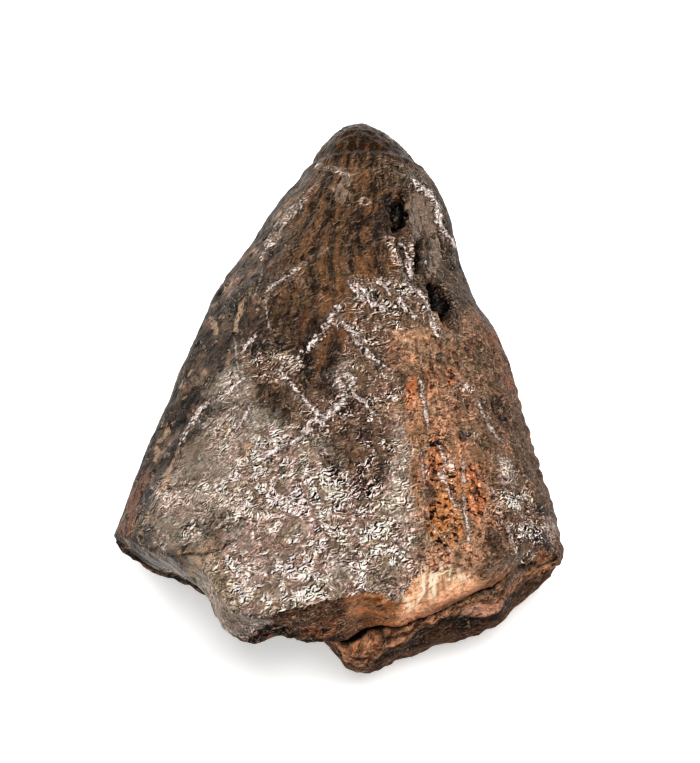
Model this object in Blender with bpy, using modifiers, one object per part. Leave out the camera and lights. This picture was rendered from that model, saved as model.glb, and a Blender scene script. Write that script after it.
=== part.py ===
"""Tip of a fossil tyrannosaur tooth: the end of a crown, broken off below, lying on its flatter face.

Metres, +Z up. +Y runs from the broken base to the worn tip, and +X points to the cutting edge that
keeps its denticles. The origin lies on the surface that the tooth rests on.
"""

import math

import bmesh
import bpy
import numpy as np
from mathutils import Matrix, Vector, noise

MM = 0.001

# ---------------------------------------------------------------- driving dimensions, in millimetres
TIP_Y = 9.6
CAP_Y = 8.0  # the worn, rounded cap of the tip starts here
CAP_INSET = 0.07  # share by which the cap is thinner than the enamel shell below it
SHELL_Y = 7.94  # the upper rim of the enamel shell
ROOT_Y = -11.4  # the crown is made to here, and the break cuts it shorter
LEFT_EDGE = ((-11.4, -9.2), (-5.9, -7.45), (-4.4, -6.97), (-1.4, -6.07), (1.5, -4.9), (3.0, -4.25),
             (4.5, -3.33), (6.7, -2.05), (8.0, -1.15), (9.6, -0.7))
RIGHT_EDGE = ((-11.4, 8.7), (-6.6, 7.42), (-3.6, 6.67), (-0.7, 5.9), (0.8, 5.57), (1.6, 5.3),
              (3.0, 4.5), (4.0, 4.2), (6.0, 3.68), (7.4, 3.15), (8.0, 2.75), (9.6, 1.9))
CREST_Z = ((-11.4, 9.1), (-6.0, 8.35), (-3.0, 7.6), (0.0, 6.75), (3.0, 5.75), (6.0, 4.55),
           (8.0, 3.65), (9.6, 3.2))
EDGE_Z = ((-11.4, 4.4), (-6.0, 3.8), (0.0, 3.05), (6.0, 2.3), (8.0, 1.95), (9.6, 1.9))
BELLY_Z = ((-11.4, 0.3), (-8.6, 0.0), (-7.4, -0.06), (6.2, -0.06), (8.0, 0.15), (9.6, 0.5))

# The section between the two cutting edges: its height goes as (1 - |u| ** POWER) ** PINCH.
UPPER_POWER, UPPER_PINCH = 2.1, 0.62
LOWER_POWER, LOWER_PINCH = 2.6, 0.58

# The broken base, as the Y that each wall reaches at X: the upper wall, the lower wedge, and the Z
# of the crack between the two.
UPPER_WALL = ((-9.5, -4.6), (-7.4, -6.1), (-6.7, -6.75), (-6.0, -7.3), (-5.2, -7.75), (-4.4, -8.5),
              (-4.1, -9.1), (-3.9, -9.7), (-3.5, -10.05), (-2.7, -10.2), (-1.3, -10.15), (0.2, -9.8),
              (0.9, -9.45), (2.0, -9.6), (3.3, -9.1), (5.3, -8.15), (6.6, -7.4), (7.4, -6.75),
              (9.5, -5.0))
LOWER_WEDGE = ((-9.5, -4.4), (-7.0, -6.1), (-4.0, -7.7), (-2.7, -8.5), (-0.9, -9.0), (-0.4, -9.3),
               (0.1, -9.95), (0.7, -10.2), (1.2, -10.15), (2.0, -9.7), (3.3, -9.2), (4.0, -8.85),
               (5.2, -8.5), (5.7, -8.0), (6.6, -7.2), (7.4, -6.6), (9.5, -4.6))
CRACK_Z = ((-9.5, 3.4), (-6.5, 4.4), (-3.6, 5.7), (-2.0, 5.9), (-0.7, 4.6), (0.0, 4.4), (1.2, 5.0),
           (2.6, 5.9), (5.3, 5.9), (6.6, 4.6), (9.5, 3.6))
CRACK_BLEND = 0.25  # half the height over which the break steps from wall to wedge
CRACK_HEIGHT, CRACK_DEPTH = 0.34, 1.7
CRACK_START_X, CRACK_END_X, CRACK_RISE = -0.7, 6.4, 0.25
LIP_ROUND, LIP_DEPTH = 0.6, 0.8  # rounding of the upper wall where it meets the outer face
LIP_START_X, LIP_FADE = 0.6, 1.4
TOE_ROUND, TOE_Z = 2.4, 2.9  # rounding of the wedge towards the belly
ROUGH_HEIGHT, ROUGH_SIZE, ROUGH_OCTAVES = 0.26, 1.9, 4
BREAK_HALF_X, BREAK_HALF_Z, BREAK_CELL = 9.4, 6.4, 0.37
BREAK_END_Y = -13.4

LUMP_HEIGHT, LUMP_SIZE = 0.035, 1.7

# Low relief of the upper face. A spall is (x, y, half length, half width, depth, turn in degrees),
# and a ridge is (share of the half width from the middle, lowest y, highest y, height).
SPALLS = ((-0.45, -0.6, 2.3, 0.85, 0.16, -24.0), (3.0, 5.0, 2.3, 0.6, 0.2, 14.0),
          (-5.2, -6.4, 1.2, 1.0, 0.12, 35.0))
RIDGES = ((0.36, -9.0, -1.0, 0.1), (0.55, -7.5, -2.4, 0.08), (0.76, -7.0, -1.8, 0.08))
RIDGE_WIDTH, RIDGE_FADE = 0.28, 1.0

DENTICLE_PITCH = 0.53
DENTICLE_FIRST_Y, DENTICLE_LAST_Y = -6.8, -0.3
DENTICLE_RADII = (0.3, 0.21, 0.5)  # out from the edge, along it, across it
DENTICLE_SINK = 0.14

# Each pit is (x, y, length, width, depth, turn in degrees about Z).
PITS = ((1.85, 5.75, 1.7, 0.75, 0.45, 12.0), (3.3, 2.3, 1.8, 0.75, 0.45, -10.0),
        (5.25, -1.7, 1.1, 0.6, 0.3, -10.0))

SEGMENTS = 76
UPPER_SEGMENTS = 44
CAP_RINGS = 7
CROWN_RINGS = 45

COLOUR = (0.13, 0.085, 0.058, 1.0)
ROUGHNESS = 0.42


def clear_scene():
    """Remove the startup objects."""
    for obj in list(bpy.data.objects):
        bpy.data.objects.remove(obj)


def through(stations, at):
    """Value at `at` of the smooth curve through (position, value) stations, without overshoot."""
    where, value = (np.array(column) for column in zip(*stations))
    step = np.diff(where)
    slope = np.diff(value) / step
    same_way = slope[1:] * slope[:-1] > 0
    inner = np.where(same_way, 2 * slope[1:] * slope[:-1] / np.where(same_way, slope[1:] + slope[:-1], 1), 0)
    tangent = np.concatenate([slope[:1], inner, slope[-1:]])
    at = np.clip(at, where[0], where[-1])
    i = np.clip(np.searchsorted(where, at) - 1, 0, len(step) - 1)
    t = (at - where[i]) / step[i]
    bend = tangent[i] * (1 - t) - tangent[i + 1] * t - slope[i] * (1 - 2 * t)
    return value[i] + step[i] * (slope[i] * t + t * (1 - t) * bend)


def smooth_step(t):
    """0 below 0, 1 above 1, and smooth between."""
    t = min(max(t, 0.0), 1.0)
    return t * t * (3 - 2 * t)


def section(y, angle, shrink=1.0):
    """Point (x, z) of the crown at `y`: angle 0 is the right cutting edge, 90 degrees the crest."""
    left, right = through(LEFT_EDGE, y), through(RIGHT_EDGE, y)
    across = math.cos(angle)
    edge = through(EDGE_Z, y)
    if math.sin(angle) >= 0:
        share = (1 - abs(across) ** UPPER_POWER) ** UPPER_PINCH
        height = (through(CREST_Z, y) - edge) * share
    else:
        share = (1 - abs(across) ** LOWER_POWER) ** LOWER_PINCH
        height = (through(BELLY_Z, y) - edge) * share
    return (left + right) / 2 + (right - left) / 2 * across * shrink, edge + height * shrink


def top_z(x, y):
    """Height of the upper face over (x, y)."""
    left, right = through(LEFT_EDGE, y), through(RIGHT_EDGE, y)
    across = (2 * x - left - right) / (right - left)
    return section(y, math.acos(min(max(across, -1.0), 1.0)))[1]


def relief(x, y):
    """Height that the spalls and ridges add to the upper face over (x, y)."""
    height = 0.0
    for middle_x, middle_y, length, width, depth, turn in SPALLS:
        away = Vector((x - middle_x, y - middle_y))
        away.rotate(Matrix.Rotation(math.radians(-turn), 2))
        far = math.hypot(away.x / width, away.y / length)
        height -= depth * smooth_step(3 * (1 - far))
    left, right = through(LEFT_EDGE, y), through(RIGHT_EDGE, y)
    for share, low, high, rise in RIDGES:
        beside = x - (left + right) / 2 - share * (right - left) / 2
        ends = smooth_step((y - low) / RIDGE_FADE) * smooth_step((high - y) / RIDGE_FADE)
        height += rise * ends * math.exp(-((beside / RIDGE_WIDTH) ** 2))
    return height


def crown_point(ring, angle):
    """Point of the crown for a ring counted from the tip."""
    if ring <= CAP_RINGS:
        turn = ring / CAP_RINGS * math.pi / 2
        y, shrink = CAP_Y + (TIP_Y - CAP_Y) * math.cos(turn), (1 - CAP_INSET) * math.sin(turn)
    else:
        share = (ring - CAP_RINGS - 1) / (CROWN_RINGS - CAP_RINGS - 1)
        y, shrink = SHELL_Y + (ROOT_Y - SHELL_Y) * min(share, 1.0), float(share <= 1.0)
    x, z = section(y, angle, shrink)
    lump = 1 + LUMP_HEIGHT * noise.noise(Vector((x, y, z)) / LUMP_SIZE)
    edge = through(EDGE_Z, y)
    z = edge + (z - edge) * lump + relief(x, y) * max(math.sin(angle), 0.0) ** 0.5
    return Vector((x * lump, y, max(z, 0.0)))


def spread(angle):
    """Turn an even angle into one that gives the upper face its UPPER_SEGMENTS."""
    turn = angle % (2 * math.pi) / (2 * math.pi) * SEGMENTS
    if turn <= UPPER_SEGMENTS:
        return math.pi * turn / UPPER_SEGMENTS
    return math.pi * (1 + (turn - UPPER_SEGMENTS) / (SEGMENTS - UPPER_SEGMENTS))


def make_crown():
    """The crown itself, worked from a sphere whose top pole becomes the tip and the other the root."""
    rings = CROWN_RINGS + 1
    shape = bmesh.new()
    bmesh.ops.create_uvsphere(shape, u_segments=SEGMENTS, v_segments=rings, radius=1.0)
    for vertex in shape.verts:
        ring = round(math.acos(min(max(vertex.co.z, -1.0), 1.0)) / math.pi * rings)
        angle = math.atan2(vertex.co.y, vertex.co.x)
        vertex.co = crown_point(ring, spread(angle)) * MM
    bmesh.ops.recalc_face_normals(shape, faces=shape.faces)
    return object_from(shape, "tooth")


def object_from(shape, name):
    """Turn a bmesh into an object and free it."""
    mesh = bpy.data.meshes.new(name)
    shape.to_mesh(mesh)
    shape.free()
    return bpy.data.objects.new(name, mesh)


def break_y(x, z):
    """How far down the broken base reaches at (x, z)."""
    above = smooth_step((z - through(CRACK_Z, x)) / (2 * CRACK_BLEND) + 0.5)
    wall = through(UPPER_WALL, x)
    below_face = max(top_z(x, wall) - z, 0.0)
    round_off = smooth_step((x - LIP_START_X) / LIP_FADE)
    wall += LIP_ROUND * round_off * math.exp(-((below_face / LIP_DEPTH) ** 2))
    wedge = through(LOWER_WEDGE, x) + TOE_ROUND * max(0.0, (TOE_Z - z) / TOE_Z) ** 2
    rough = noise.fractal(Vector((x, 0.0, z)) / ROUGH_SIZE, 0.7, 2.0, ROUGH_OCTAVES)
    return wall * above + wedge * (1 - above) + ROUGH_HEIGHT * rough


def make_break_cutter():
    """Everything below the broken base: a grid shaped as the break, and extruded away from the tooth."""
    shape = bmesh.new()
    bmesh.ops.create_grid(shape, x_segments=round(2 * BREAK_HALF_X / BREAK_CELL),
                          y_segments=round(2 * BREAK_HALF_Z / BREAK_CELL), size=1.0)
    for vertex in shape.verts:
        x = vertex.co.x * BREAK_HALF_X
        z = through(CRACK_Z, x) + vertex.co.y * BREAK_HALF_Z
        vertex.co = Vector((x, break_y(x, z), z)) * MM
    swept = bmesh.ops.extrude_face_region(shape, geom=shape.faces[:])
    for vertex in swept["geom"]:
        if isinstance(vertex, bmesh.types.BMVert):
            vertex.co.y = BREAK_END_Y * MM
    bmesh.ops.recalc_face_normals(shape, faces=shape.faces)
    return object_from(shape, "break_cutter")


def make_crack_cutter():
    """The thin crack that runs in from the break, between the wall and the wedge."""
    shape = bmesh.new()
    bmesh.ops.create_grid(shape, x_segments=22, y_segments=4, size=1.0)
    for vertex in shape.verts:
        x = CRACK_START_X + (CRACK_END_X - CRACK_START_X) * (vertex.co.x + 1) / 2
        y = through(UPPER_WALL, x) + CRACK_DEPTH * vertex.co.y
        vertex.co = Vector((x, y, through(CRACK_Z, x) + CRACK_RISE * vertex.co.y)) * MM
    sheet = object_from(shape, "crack_cutter")
    wall = sheet.modifiers.new("height", "SOLIDIFY")
    wall.thickness = CRACK_HEIGHT * MM
    wall.offset = 0
    return sheet


def add_ellipsoid(shape, centre, radii, turn):
    """Add a small ellipsoid to a bmesh, its axes turned by the rotation matrix `turn`."""
    place = Matrix.Translation(centre * MM) @ turn @ Matrix.Diagonal((*(Vector(radii) * MM), 1.0))
    bmesh.ops.create_uvsphere(shape, u_segments=10, v_segments=6, radius=1.0, matrix=place)


def make_denticles():
    """The row of denticles along the right cutting edge."""
    shape = bmesh.new()
    count = int((DENTICLE_LAST_Y - DENTICLE_FIRST_Y) / DENTICLE_PITCH) + 1
    for i in range(count):
        y = DENTICLE_FIRST_Y + i * DENTICLE_PITCH
        x, z = section(y, 0.0)
        lean = math.atan2(section(y + 0.1, 0.0)[0] - x, 0.1)
        centre = Vector((x - DENTICLE_SINK, y, z))
        add_ellipsoid(shape, centre, DENTICLE_RADII, Matrix.Rotation(-lean, 4, "Z"))
    return object_from(shape, "denticle_row")


def make_pits():
    """The deep stained pits of the upper face, as one cutter."""
    shape = bmesh.new()
    for x, y, length, width, depth, turn in PITS:
        centre = Vector((x, y, top_z(x, y)))
        add_ellipsoid(shape, centre, (width / 2, length / 2, depth),
                      Matrix.Rotation(math.radians(turn), 4, "Z"))
    return object_from(shape, "pit_cutter")


def add_boolean(target, helper, operation):
    """Join or cut `target` with `helper`, which stays out of the model."""
    helper.hide_render = True
    helper.display_type = "WIRE"
    modifier = target.modifiers.new(helper.name, "BOOLEAN")
    modifier.operation = operation
    modifier.solver = "EXACT"
    modifier.object = helper


def make_material():
    """Dark, half-glossy enamel."""
    material = bpy.data.materials.new("brown_enamel")
    material.use_nodes = True
    shader = material.node_tree.nodes["Principled BSDF"]
    shader.inputs["Base Color"].default_value = COLOUR
    shader.inputs["Roughness"].default_value = ROUGHNESS
    return material


def main():
    clear_scene()
    parts = bpy.data.collections.new("tyrannosaur_tooth")
    helpers = bpy.data.collections.new("helpers")
    for collection in (parts, helpers):
        bpy.context.scene.collection.children.link(collection)
    tooth = make_crown()
    tooth.data.materials.append(make_material())
    tooth.data.shade_smooth()
    tooth.data.set_sharp_from_angle(angle=math.radians(40))
    parts.objects.link(tooth)
    for helper, operation in ((make_denticles(), "UNION"), (make_break_cutter(), "DIFFERENCE"),
                              (make_crack_cutter(), "DIFFERENCE"), (make_pits(), "DIFFERENCE")):
        helpers.objects.link(helper)
        add_boolean(tooth, helper, operation)


main()
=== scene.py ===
"""Looks of a fossil tyrannosaur tooth: a worn crown tip, broken off below, lying on its flatter face.

Shapes and markings are worked in millimetres, with +Y towards the tip, and enter the scene in metres.
"""

import logging
import math
from dataclasses import dataclass, field
from enum import Enum
from types import SimpleNamespace

import bmesh
import bpy
import numpy as np
from mathutils import Matrix, Vector
from mathutils.bvhtree import BVHTree

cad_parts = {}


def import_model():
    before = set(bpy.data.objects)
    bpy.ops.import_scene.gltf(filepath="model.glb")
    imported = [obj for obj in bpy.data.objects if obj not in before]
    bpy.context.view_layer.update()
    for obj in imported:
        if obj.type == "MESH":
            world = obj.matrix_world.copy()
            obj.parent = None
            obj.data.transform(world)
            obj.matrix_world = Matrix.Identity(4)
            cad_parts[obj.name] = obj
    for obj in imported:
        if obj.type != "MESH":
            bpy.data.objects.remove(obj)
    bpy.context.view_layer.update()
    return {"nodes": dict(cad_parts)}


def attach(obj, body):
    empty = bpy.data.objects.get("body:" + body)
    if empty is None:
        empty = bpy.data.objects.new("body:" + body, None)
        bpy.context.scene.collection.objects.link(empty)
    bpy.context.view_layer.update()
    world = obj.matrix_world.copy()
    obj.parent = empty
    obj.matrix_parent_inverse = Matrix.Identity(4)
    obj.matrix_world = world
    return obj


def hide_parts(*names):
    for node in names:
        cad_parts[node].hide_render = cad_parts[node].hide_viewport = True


Array = np.ndarray
Point = tuple[float, float]
Place = tuple[float, float, float]
Colour = tuple[int, int, int]

NODE = "tooth"
BODY = "root"
MM = 0.001
ELEVATION = 70.0

log = logging.getLogger("tooth")


# ---- numbers


def smooth(value: Array, low: float, high: float) -> Array:
    """Smooth rise from 0 at `low` to 1 at `high`, or a fall where `high` is the lower one."""
    share = np.clip((value - low) / (high - low), 0.0, 1.0)
    return share * share * (3 - 2 * share)


def linear(colour: Colour) -> Array:
    """Linear light, from 0 to 1, of a display colour of 0 to 255."""
    share = np.array(colour, float) / 255
    return np.where(share <= 0.04045, share / 12.92, ((share + 0.055) / 1.055) ** 2.4)


class Noise:
    """Repeatable noise over points in space, given in the noise's own units."""

    SIZE = 256
    ORDER = np.random.default_rng(11).permutation(SIZE)
    SLOPES = np.random.default_rng(12).normal(size=(SIZE, 3))
    SLOPES /= np.linalg.norm(SLOPES, axis=1)[:, None]
    PLACES = np.random.default_rng(13).random((SIZE, 4))[:, :3]
    SEED_STEP = np.array((37.7, 71.3, 113.1))
    LIFT = 1.6

    @classmethod
    def pick(cls, cell: Array) -> Array:
        """Draw a row of the tables for each whole-numbered lattice cell."""
        first = cls.ORDER[(cls.ORDER[cell[:, 0] % cls.SIZE] + cell[:, 1]) % cls.SIZE]
        return cls.ORDER[(first + cell[:, 2]) % cls.SIZE]

    @classmethod
    def plain(cls, points: Array, seed: int = 0) -> Array:
        """Gradient noise of one octave.

        Args:
            points: Places, one row each; the noise's waves are about 1 long.
            seed: Which noise is drawn.

        Returns:
            Values of about -1 to 1.
        """
        points = points + seed * cls.SEED_STEP
        base = np.floor(points).astype(np.int64)
        local = points - base
        fade = local**3 * (local * (local * 6 - 15) + 10)
        total = np.zeros(len(points))
        for corner in np.ndindex(2, 2, 2):
            pull = np.einsum("ij,ij->i", cls.SLOPES[cls.pick(base + corner)], local - corner)
            total += pull * np.prod(np.where(corner, fade, 1 - fade), axis=1)
        return total * cls.LIFT

    @classmethod
    def fractal(cls, points: Array, octaves: int = 4, seed: int = 0, gain: float = 0.5,
                ridged: bool = False) -> Array:
        """Layered noise.

        Args:
            points: Places, one row each; the longest waves are about 1 long.
            octaves: How many layers, each half as long as the last.
            seed: Which noise is drawn.
            gain: Height of each layer as a share of the one before.
            ridged: Fold every layer, so that its zero lines become sharp crests.

        Returns:
            About -1 to 1, or 0 to 1 where it is ridged.
        """
        total, height, reach = np.zeros(len(points)), 1.0, 0.0
        for octave in range(octaves):
            layer = cls.plain(points * 2**octave, seed + octave)
            total += height * ((1 - np.abs(layer) * cls.LIFT).clip(0) ** 2 if ridged else layer)
            reach += height
            height *= gain
        return total / reach

    @classmethod
    def cells(cls, points: Array) -> Array:
        """Distance to the nearest of many scattered centres.

        Args:
            points: Places, one row each; the centres are about 1 apart.

        Returns:
            The distances.
        """
        base = np.floor(points).astype(np.int64)
        nearest = np.full(len(points), np.inf)
        for offset in np.ndindex(3, 3, 3):
            cell = base + offset - 1
            far = np.linalg.norm(points - cell - cls.PLACES[cls.pick(cell)], axis=1)
            nearest = np.minimum(nearest, far)
        return nearest


# ---- the skin


class Ragged(Enum):
    """How long the waves of an uneven border are, in millimetres."""

    FINE = 0.4
    MEDIUM = 0.8
    COARSE = 1.5


@dataclass
class Skin:
    """The fine surface, point by point, in millimetres.

    `share` is a point's place across the crown, -1 at the left cutting edge and 1 at the right, and
    `grain` is its place in a space where the crown has no taper, so that streaks follow the tooth.
    `upper` is 1 on the upper face, `level` is 1 where the skin faces up enough to carry a thin mark,
    and `moves` are the waves of uneven borders.
    """

    points: Array
    normals: Array
    share: Array = field(init=False)
    grain: Array = field(init=False)
    upper: Array = field(init=False)
    level: Array = field(init=False)
    moves: dict[Ragged, Array] = field(init=False)

    SLICE = 0.6
    FIT_FROM, FIT_TO = -5.2, 8.4
    BARREL = 6.5
    EDGE_SHARE = 0.45
    LEAST_HALF = 0.5
    SLOPE_OVER = 3
    PICTURE_ORIGIN = (340, 413)
    PIXELS_PER_MM = 30.0
    FACING = 0.2

    def __post_init__(self) -> None:
        """Measure the crown slice by slice, and draw the waves of uneven borders."""
        x, y, z = self.points.T
        places = np.arange(self.FIT_FROM, self.FIT_TO, self.SLICE)
        slices = [np.abs(y - place) < self.SLICE / 2 for place in places]
        left, right, crest = (self.along(y, places, np.array([values[part].max() for part in slices]))
                              for values in (-x, x, z))
        half = np.maximum((right + left) / 2, self.LEAST_HALF)
        self.share = (x - (right - left) / 2) / half
        height = (z - crest * self.EDGE_SHARE) / (crest * (1 - self.EDGE_SHARE))
        self.grain = np.stack([self.share * self.BARREL, height * self.BARREL, y], 1)
        self.upper = smooth(height, -0.35, 0.1)
        self.level = smooth(self.normals[:, 2], 0.05, 0.3)
        self.moves = {wave: np.stack([self.noise(wave.value, 3, seed) for seed in (1, 5)], 1)
                      for wave in Ragged}

    def along(self, y: Array, places: Array, values: Array) -> Array:
        """Read a measured edge at every point, carried on in a straight line past its lower end.

        Args:
            y: Where the edge is read.
            places: Where it was measured.
            values: What was measured there.

        Returns:
            The edge's value at each `y`.
        """
        slope = (values[self.SLOPE_OVER] - values[0]) / (self.SLOPE_OVER * self.SLICE)
        past = values[0] + slope * (y - places[0])
        return np.where(y < places[0], past, np.interp(y, places, values))

    def noise(self, size: float, octaves: int, seed: int, gain: float = 0.6) -> Array:
        """Layered noise of about -1 to 1 at every point, with waves of a size in millimetres."""
        return Noise.fractal(self.points / size, octaves, seed, gain)

    def place(self, spot: Point, seen: bool) -> Array:
        """Find the place of a mark.

        Args:
            spot: The place in X and Y or, if it is a seen one, in pixels across and down, as the
                camera's picture would show it without perspective.
            seen: Whether it is a seen one.

        Returns:
            The place in X and Y.
        """
        if not seen:
            return np.array(spot)
        tilt = math.radians(ELEVATION)
        towards = np.array((0.0, -math.cos(tilt), math.sin(tilt)))
        across = (spot[0] - self.PICTURE_ORIGIN[0]) / self.PIXELS_PER_MM
        up = (self.PICTURE_ORIGIN[1] - spot[1]) / self.PIXELS_PER_MM
        shown = self.points[self.normals @ towards > self.FACING]
        rise = shown[:, 1] * math.sin(tilt) + shown[:, 2] * math.cos(tilt)
        nearest = np.argmin(np.hypot(shown[:, 0] - across, rise - up))
        return np.array((across, (up - shown[nearest, 2] * math.cos(tilt)) / math.sin(tilt)))

    def moved(self, wave: Ragged, reach: float) -> Array:
        """The points in X and Y, each moved up to a reach, which makes a marking's border uneven."""
        return self.points[:, :2] + reach * self.moves[wave]


@dataclass(frozen=True)
class Patch:
    """An uneven oval area on the upper face, at a place in millimetres or, if `seen`, in pixels."""

    at: Point
    half_length: float
    half_width: float
    turn: float = 0.0
    reach: float = 0.3
    wave: Ragged = Ragged.MEDIUM
    seen: bool = False

    def inside(self, skin: Skin) -> Array:
        """How far inside the area each point is.

        Args:
            skin: The surface that is marked.

        Returns:
            1 at its middle, 0 on its border and below 0 outside it.
        """
        away = skin.moved(self.wave, self.reach) - skin.place(self.at, self.seen)
        turn = math.radians(self.turn)
        along = away[:, 1] * math.cos(turn) + away[:, 0] * math.sin(turn)
        across = away[:, 0] * math.cos(turn) - away[:, 1] * math.sin(turn)
        far = np.hypot(along / self.half_length, across / self.half_width)
        return np.where(skin.upper > 0, 1 - far, -1.0)


def fine(at: Point, half_length: float, half_width: float, turn: float, reach: float) -> Patch:
    """A patch whose border has short waves."""
    return Patch(at, half_length, half_width, turn, reach, Ragged.FINE)


def coarse(at: Point, half_length: float, half_width: float, turn: float, reach: float) -> Patch:
    """A patch whose border has long waves."""
    return Patch(at, half_length, half_width, turn, reach, Ragged.COARSE)


@dataclass(frozen=True)
class Streak:
    """An uneven band along points of the upper face, in millimetres or, if `seen`, in pixels."""

    path: tuple[Point, ...]
    half_width: float
    reach: float = 0.12
    seen: bool = False

    FAR = 99.0

    def inside(self, skin: Skin) -> Array:
        """How far inside the band each point is: 1 on its middle line and 0 on its border."""
        return np.where(skin.upper > 0, 1 - np.abs(self.side(skin)), -1.0)

    def side(self, skin: Skin) -> Array:
        """Distance to the band's middle line.

        Args:
            skin: The surface that is marked.

        Returns:
            Half widths, above 0 on the line's left and below 0 on its right.
        """
        spots = skin.moved(Ragged.FINE, self.reach)
        nearest = np.full(len(spots), self.FAR)
        path = [skin.place(spot, self.seen) for spot in self.path]
        for start, end in zip(path, path[1:]):
            run = end - start
            away = spots - start
            share = np.clip(away @ run / (run @ run), 0, 1)
            far = np.linalg.norm(away - share[:, None] * run, axis=1)
            hand = np.where(run[0] * away[:, 1] - run[1] * away[:, 0] < 0, -1.0, 1.0)
            nearest = np.where(far < np.abs(nearest), far * hand, nearest)
        return nearest / self.half_width


Marks = tuple[Patch | Streak, ...]


def deepest(skin: Skin, marks: Marks) -> Array:
    """How far inside any of several marks each point is: 1 at a middle and 0 on a border."""
    return np.max([mark.inside(skin) for mark in marks], axis=0)


# ---- nodes


@dataclass(frozen=True)
class Value:
    """A number, vector or colour in a node tree; numbers are added and multiplied like any other."""

    graph: "Graph"
    socket: bpy.types.NodeSocket

    def __add__(self, other: "Value | float") -> "Value":
        """Sum."""
        return self.graph.math("ADD", self, other)

    def __sub__(self, other: "Value | float") -> "Value":
        """Difference."""
        return self.graph.math("SUBTRACT", self, other)

    def __mul__(self, other: "Value | float") -> "Value":
        """Product."""
        return self.graph.math("MULTIPLY", self, other)

    def rest(self) -> "Value":
        """What is left of 1, never below 0."""
        return self.graph.math("SUBTRACT", 1.0, self, clamp=True)

    def swing(self, amount: float) -> "Value":
        """Its rise and fall about a half, times an amount."""
        return (self - 0.5) * amount

    def rise(self, low: float, high: float) -> "Value":
        """Smooth rise from 0 at `low` to 1 at `high`, or a fall where `high` is the lower one."""
        inputs = {"Value": self, "From Min": low, "From Max": high}
        return self.graph.value("ShaderNodeMapRange", inputs, "Result", interpolation_type="SMOOTHSTEP")

    def crest(self, centre: float, width: float) -> "Value":
        """Thin lines where it passes `centre`: 1 on them, and 0 from `width` away."""
        return self.graph.math("ABSOLUTE", self - centre).rise(width, width * 0.3)


class Graph:
    """A node tree and short ways to fill it."""

    def __init__(self, tree: bpy.types.NodeTree) -> None:
        """Take the tree that is filled."""
        self.tree = tree

    def add(self, kind: str, inputs: dict, **settings: object) -> bpy.types.Node:
        """Add a node.

        Args:
            kind: Blender's name of the node's type.
            inputs: Input name or number to a plain value, a value of the tree or a socket.
            settings: The node's own settings.

        Returns:
            The node.
        """
        node = self.tree.nodes.new(kind)
        for name, setting in settings.items():
            setattr(node, name, setting)
        for name, given in inputs.items():
            given = given.socket if isinstance(given, Value) else given
            if isinstance(given, bpy.types.NodeSocket):
                self.tree.links.new(given, node.inputs[name])
            else:
                node.inputs[name].default_value = given
        return node

    def value(self, kind: str, inputs: dict, output: int | str = 0, **settings: object) -> Value:
        """Add a node, as `add` does, and take one of its outputs."""
        return Value(self, self.add(kind, inputs, **settings).outputs[output])

    def math(self, operation: str, first: Value | float, second: Value | float = 0.0,
             clamp: bool = False) -> Value:
        """A Math node's result, kept between 0 and 1 if `clamp` says so."""
        inputs = {0: first, 1: second}
        return self.value("ShaderNodeMath", inputs, operation=operation, use_clamp=clamp)

    def vector(self, operation: str, first: Value, second: Value | Place) -> Value:
        """A Vector Math node's result."""
        return self.value("ShaderNodeVectorMath", {0: first, 1: second}, operation=operation)

    def scaled(self, vector: Value | bpy.types.NodeSocket, factor: Value) -> Value:
        """A vector or colour times a number."""
        return self.value("ShaderNodeVectorMath", {0: vector, "Scale": factor}, operation="SCALE")

    def stretched(self, place: Value, scale: Place) -> Value:
        """A place in a space that is scaled along its axes."""
        return self.value("ShaderNodeMapping", {"Vector": place, "Scale": scale})

    def blend(self, amount: Value, below: Value | tuple, above: Value | tuple) -> Value:
        """Lay a colour over another.

        Args:
            amount: How much of the upper colour shows.
            below: The lower colour: a value, a display colour or four linear numbers.
            above: The upper colour, given in the same ways.

        Returns:
            The mixed colour.
        """
        below, above = (colour4(colour) if isinstance(colour, tuple) and len(colour) == 3 else colour
                        for colour in (below, above))
        return self.value("ShaderNodeMix", {0: amount, 6: below, 7: above}, 2, data_type="RGBA")

    def noise(self, place: Value, size: float, detail: float = 2.0, distortion: float = 0.0,
              roughness: float = 0.5) -> Value:
        """Noise with waves of a size in millimetres.

        Args:
            place: Where it is read, in metres.
            size: Length of its longest waves.
            detail: How many finer layers it has.
            distortion: How much it is curled.
            roughness: How strong the finer layers are.

        Returns:
            The noise, of about 0 to 1.
        """
        return self.value("ShaderNodeTexNoise", {
            "Vector": place, "Scale": 1 / (size * MM), "Detail": detail, "Distortion": distortion,
            "Roughness": roughness})

    def folds(self, place: Value, size: float, step: Place) -> tuple[Value, Value]:
        """Sharp creases between rounded folds.

        Args:
            place: Where they are read, in metres.
            size: Width of the folds, in millimetres.
            step: The step over which their slope is taken, in millimetres.

        Returns:
            Their height, and their fall along the step.
        """
        moved = self.vector("ADD", place, tuple(length * MM for length in step))
        here, there = (self.math("ABSOLUTE", self.noise(spot, size, 1.0, 1.2, 0.6) - 0.5)
                       for spot in (place, moved))
        return here, here - there


def colour4(colour: Colour) -> tuple[float, ...]:
    """A display colour as a shader socket takes it."""
    return (*linear(colour), 1.0)


class Trait(Enum):
    """What the finish reads from each point of the surface."""

    # FROST is how densely painted glints and the crinkles' painted light and shade show.
    FROST = "frost"
    STREAKS = "streaks"
    SPECKS = "specks"
    GRIT = "grit"
    BLOTCHES = "blotches"
    GLOSS = "gloss"
    GLARE = "glare"
    LINE = "line"
    SIDE = "line_side"


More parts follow.
